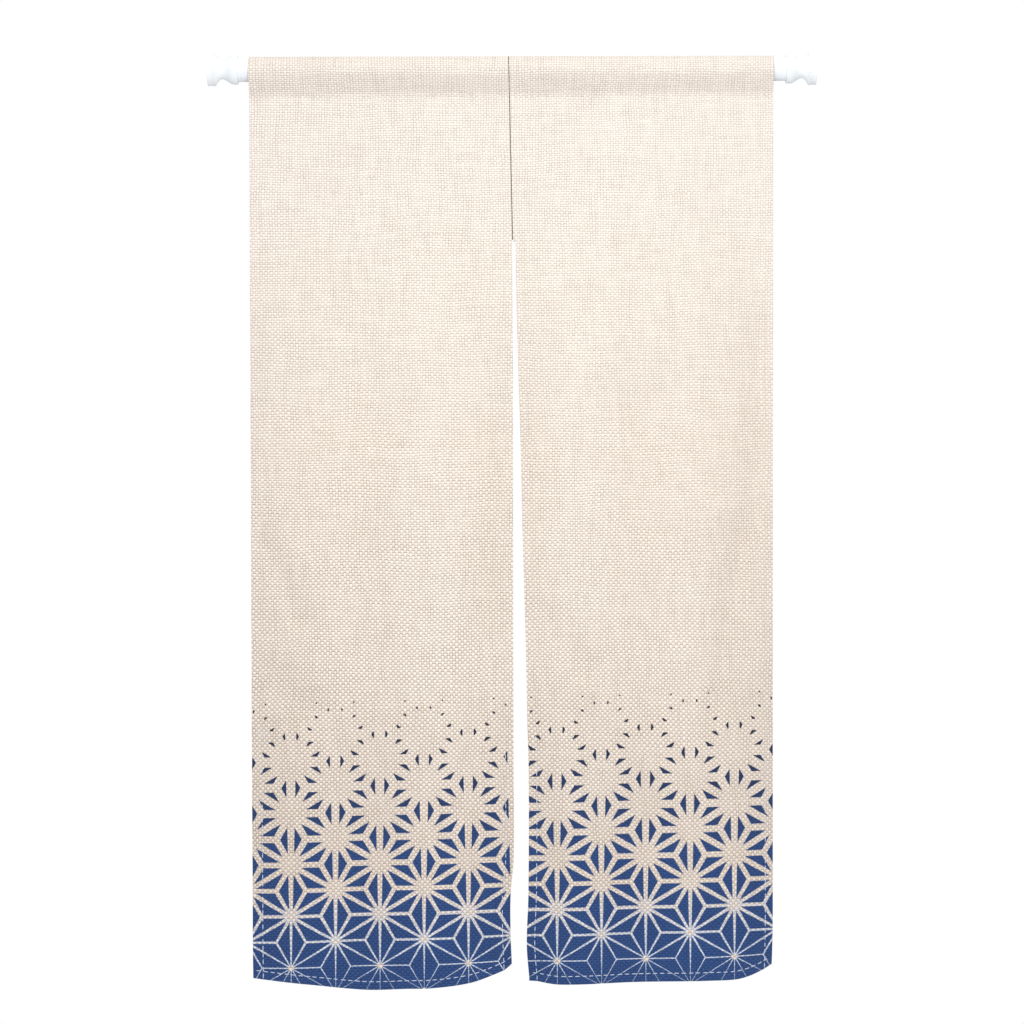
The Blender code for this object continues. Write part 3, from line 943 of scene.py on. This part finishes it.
def threadMaterial(name, colour, inBorder, darker):
    material, tree, shader = newMaterial(name, sewing["surface"])
    x, _, z = split(addNode(tree, "ShaderNodeTexCoord").outputs["Object"])
    ply = calc("SINE", times(calc("ADD", x, z), sewing["twist"]))
    ply = remap(ply, -1, 1, 0, 1)
    colour = blend(remap(z, *look["footDarkeningRange"]), colour, inBorder)
    # painted shade in the grooves between the plies
    shade = tint(remap(ply, 0, 1, darker, 1))
    feed(shader.inputs["Base Color"], blend(1.0, colour, shade, "MULTIPLY"))
    addBump(shader, ply, 1.0, sewing["relief"])
    return material


def alongLine(line, spacing):  # evenly spaced places on a line of points, and a walk along it
    hops = np.hypot(*np.diff(line, axis=0).T)
    run = np.concatenate([[0], np.cumsum(hops)])
    at = np.arange(0.5 * spacing, run[-1] - 0.5 * spacing, spacing)
    return at, lambda s: np.stack([np.interp(s, run, line[:, 0]), np.interp(s, run, line[:, 1])], -1)


def tubeFaces(base, rings, around):  # the side of a tube made of rings of points, and its two ends
    faces = []
    for ring in range(rings - 1):
        low = base + ring * around
        for step in range(around):
            after = (step + 1) % around
            faces.append((low + step, low + after, low + around + after, low + around + step))
    end = base + (rings - 1) * around
    return faces + [list(range(base, base + around))[::-1], list(range(end, end + around))]


def addStitches(name, runs, material):  # each run is (panel, line, back); the line is on the cloth
    rng = random.Random(7)
    rings, around = sewing["rings"], sewing["around"]
    turns = [math.tau * step / around for step in range(around)]
    t = np.linspace(0, 1, rings)
    bow = 1 - (2 * t - 1) ** 4
    wide = sewing["halfWidth"] * (sewing["ends"] + (1 - sewing["ends"]) * bow)
    proud = sewing["halfHeight"] * (sewing["bow"] * bow - sewing["sunk"])
    proud -= sewing["inDent"] * cloth["dentDepth"]
    points, faces = [], []
    for panel, line, back in runs:
        out = 1 if back else -1
        starts, walk = alongLine(line, sewing["period"])
        for start in starts:
            length = sewing["dash"] * rng.uniform(*sewing["dashVaries"])
            start = start + rng.uniform(-sewing["strays"], sewing["strays"])
            tilt = rng.uniform(-sewing["tilts"], sewing["tilts"])
            at = walk(start + length * t)
            ahead = at[-1] - at[0]
            ahead = ahead / np.hypot(*ahead)
            y = foldDepth(panel, at[:, 0], at[:, 1]) + out * (cloth["thickness"] + proud)
            faces += tubeFaces(len(points), rings, around)
            for ring in range(rings):
                for turn in turns:
                    aside = wide[ring] * math.cos(turn) + tilt * length * (t[ring] - 0.5)
                    points.append((
                        at[ring, 0] - ahead[1] * aside,
                        y[ring] + out * sewing["halfHeight"] * math.sin(turn),
                        at[ring, 1] + ahead[0] * aside,
                    ))
    return addPiece(name, newMesh(name, points, faces), [material], 60)


def hemLines(panel):  # the stitch lines up both sides and along the bottom
    bottom = panel["hem"][0][1]
    leftX, rightX = (float(edgeX(panel, right, np.array(bottom))) for right in (False, True))
    x = np.linspace(leftX, rightX, sewing["alongHem"])
    lines = [np.stack([x, onCurve(panel["hem"], x) + cloth["bottomStitch"]], -1)]
    for right, stitch in ((False, panel["leftStitch"]), (True, -panel["rightStitch"])):
        footX = (rightX if right else leftX) + stitch
        foot = float(onCurve(panel["hem"], np.array(footX)))
        top = -cloth["stitchDrop"] - sewing["belowPocket"]
        if right == panel["sewnRight"]:
            top = cloth["seamFoot"][1]
        z = np.linspace(foot - sewing["pastHem"], top, sewing["alongSide"])
        lines.append(np.stack([edgeX(panel, right, z) + stitch, z], -1))
    return lines


def pocketLine(panel):
    z = np.full(sewing["alongPocket"], -cloth["stitchDrop"])
    left, right = (float(edgeX(panel, right, z[:1])[0]) for right in (False, True))
    return np.stack([np.linspace(left + sewing["pocketEnds"], right - sewing["pocketEnds"], len(z)), z], -1)


def addSeam(material):  # one thread between the panels, up, over the rod and down behind; its dark colour is painted shadow
    deep = cloth["thickness"] * sewing["seamDepth"]
    low = np.linspace(cloth["seamFoot"][1], -cloth["stitchDrop"], sewing["alongPocket"])
    low = [(-deep, z) for z in low]
    path = pocketPath(cloth["softKink"])
    proud = sewing["seamProud"] + bulgeAt(path[:, 1])
    over = [(y + outY * out, z + outZ * out) for (y, z, outY, outZ), out in zip(path, proud)]
    line = np.array(low + over + [(-y, z) for y, z in low[::-1]])
    hop = np.gradient(line, axis=0)
    hop /= np.hypot(*hop.T)[:, None]
    points = []
    for (y, z), (aheadY, aheadZ) in zip(line, hop):
        for step in range(sewing["around"]):
            angle = math.tau * step / sewing["around"]
            aside, out = sewing["seamRadius"] * math.cos(angle), sewing["seamRadius"] * math.sin(angle)
            points.append((float(seamX(z)) + aside, y - aheadZ * out, z + aheadY * out))
    mesh = newMesh("panel_seam_shadow", points, tubeFaces(0, len(line), sewing["around"]))
    return addPiece("panel_seam_shadow", mesh, [material], 60)


whiteThread = threadMaterial("white sewing thread", sewing["white"], sewing["whiteInBorder"], 0.85)
creamThread = threadMaterial("cream sewing thread", sewing["cream"], sewing["cream"], 0.85)
seamShadowThread = threadMaterial("seam shadow thread", sewing["seam"], sewing["seam"], 0.7)
sewn = {}
for panel in (leftPanel, rightPanel):
    label = panel["node"]
    runs = [(panel, line, back) for line in hemLines(panel) for back in (False, True)]
    hems = addStitches(label + "_hem_stitches", runs, whiteThread)
    runs = [(panel, pocketLine(panel), back) for back in (False, True)]
    sewn[label] = [hems, addStitches(label + "_pocket_stitches", runs, creamThread)]
sewn["left_panel"].append(addSeam(seamShadowThread))
print("sewing done:", sum(len(piece.data.polygons) for group in sewn.values() for piece in group), "faces")


# Rod: a painted tube, two turned plastic ends and two foot pads

rod = {
    "span": 0.988,
    "radius": 0.0195,
    "wall": 0.0012,
    "padRadius": 0.026,
    "padThickness": 0.0098,
    "padFace": 0.93,  # share of its radius that lies on the doorway
    "padGroove": ((0.35, 0.0), (0.42, 0.0005), (0.58, 0.0005), (0.65, 0.0)),  # share of thickness, depth
    "flangeRadius": 0.0263,
    "flangeThickness": 0.0026,
    "neckRadius": 0.015,
    "neckFromPad": 0.013,
    "collarRadius": 0.0237,
    "collarWidth": 0.0065,
    "capLength": 0.039,
    "capSteps": 14,
    "spigot": 0.025,
    "gap": 0.0001,  # between pieces that touch
    "edge": 0.0003,  # small rounding on every moulded edge
    "around": 96,
    "blotches": (60.0, 3.0),  # noise of the moulded finishes: scale and detail
    "blotchShade": 0.96,
    "roughVaries": (-0.05, 0.07),
    "surface": {"Specular IOR Level": 0.3},
    "bump": 0.4,
}


def mouldedMaterial(name, colour, roughness, grainScale, relief):
    material, tree, shader = newMaterial(name, rod["surface"])
    place = addNode(tree, "ShaderNodeTexCoord").outputs["Object"]
    cloud = addNoise(place, *rod["blotches"])
    shade = [value * rod["blotchShade"] for value in colour[:3]] + [1.0]
    feed(shader.inputs["Base Color"], blend(cloud, shade, colour))
    rough = [roughness + more for more in rod["roughVaries"]]
    feed(shader.inputs["Roughness"], remap(cloud, 0.3, 0.7, *rough))
    addBump(shader, addNoise(place, grainScale, 2.0), rod["bump"], relief)
    return material


def addTurned(name, node, profile, material, ring=False):  # profile is (x, radius), closed on the axis
    bm = bmesh.new()
    spots = [bm.verts.new((x, 0.0, radius)) for x, radius in profile]
    edges = [bm.edges.new(pair) for pair in zip(spots, spots[1:])]
    if ring:
        edges.append(bm.edges.new((spots[-1], spots[0])))
    bmesh.ops.spin(
        bm, geom=spots + edges, cent=(0, 0, 0), axis=(1, 0, 0), angle=math.tau, steps=rod["around"],
        use_merge=True,
    )
    bmesh.ops.remove_doubles(bm, verts=bm.verts, dist=1e-6)
    mesh = bpy.data.meshes.new(name)
    bm.to_mesh(mesh)
    bm.free()
    faceOutward(mesh)
    placed = addPiece(name, mesh, [material], 35)
    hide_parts(node)


def roundedCorner(x, radius, inX, inR, outX, outR):  # four points that round a corner off
    size = rod["edge"]
    a = (x + inX * size, radius + inR * size)
    b = (x + outX * size, radius + outR * size)
    return [
        tuple((1 - t) ** 2 * p + 2 * t * (1 - t) * q + t * t * r for p, q, r in zip(a, (x, radius), b))
        for t in (0, 1 / 3, 2 / 3, 1)
    ]


def padProfile():
    depth, rim = rod["padThickness"], rod["padRadius"]
    groove = [(share * depth, rim - deep) for share, deep in rod["padGroove"]]
    face = [(0.0, 0.0), (0.0, rim * rod["padFace"]), *roundedCorner(0.0, rim, 0, -1, 1, 0)]
    return face + groove + [*roundedCorner(depth, rim, -1, 0, 0, -1), (depth, 0.0)]


def capProfile():  # flange, waist, flare, collar and the spigot inside the tube
    start = rod["padThickness"] + rod["gap"]
    flangeEnd = start + rod["flangeThickness"]
    neck, thin = start + rod["neckFromPad"], rod["neckRadius"]
    end = start + rod["capLength"]
    collar = end - rod["collarWidth"]
    spigot = rod["radius"] - rod["wall"] - rod["gap"]
    shape = [(start, 0.0), *roundedCorner(start, rod["flangeRadius"], 0, -1, 1, 0)]
    shares = [step / rod["capSteps"] for step in range(rod["capSteps"] + 1)]
    for share in shares[:-1]:
        radius = thin + (rod["flangeRadius"] - thin) * (1 - share) ** 2
        shape.append((flangeEnd + (neck - flangeEnd) * share, radius))
    for share in shares:
        radius = thin + (rod["collarRadius"] - thin) * float(smoothStep(share))
        shape.append((neck + (collar - neck) * share, radius))
    shape += roundedCorner(end, rod["collarRadius"], -1, 0, 0, -1)
    return [*shape, (end, spigot), (end + rod["spigot"], spigot), (end + rod["spigot"], 0.0)]


def tubeProfile():
    start = rod["padThickness"] + rod["capLength"] + 2 * rod["gap"]
    end = rod["span"] - start
    bore = rod["radius"] - rod["wall"]
    return [(start, bore), (start, rod["radius"]), (end, rod["radius"]), (end, bore)]


whitePaint = mouldedMaterial("white paint", (0.92, 0.965, 1.0, 1.0), 0.35, 900.0, 0.00002)
whitePlastic = mouldedMaterial("white plastic", (0.945, 0.98, 1.0, 1.0), 0.30, 700.0, 0.00003)
paleRubber = mouldedMaterial("pale rubber", (0.965, 0.98, 0.995, 1.0), 0.70, 1500.0, 0.00006)
addTurned("rod_tube_painted", "rod_tube", tubeProfile(), whitePaint, ring=True)
for side in ("left", "right"):
    for node, slot, profile, material in (
        ("foot_pad", "foot_pad", padProfile(), paleRubber),
        ("end_cap", "end_cap", capProfile(), whitePlastic),
    ):
        if side == "right":
            profile = [(rod["span"] - x, radius) for x, radius in profile]
        addTurned(f"{side}_{node}_moulded", f"{side}_{node}", profile, material)
print("rod done")
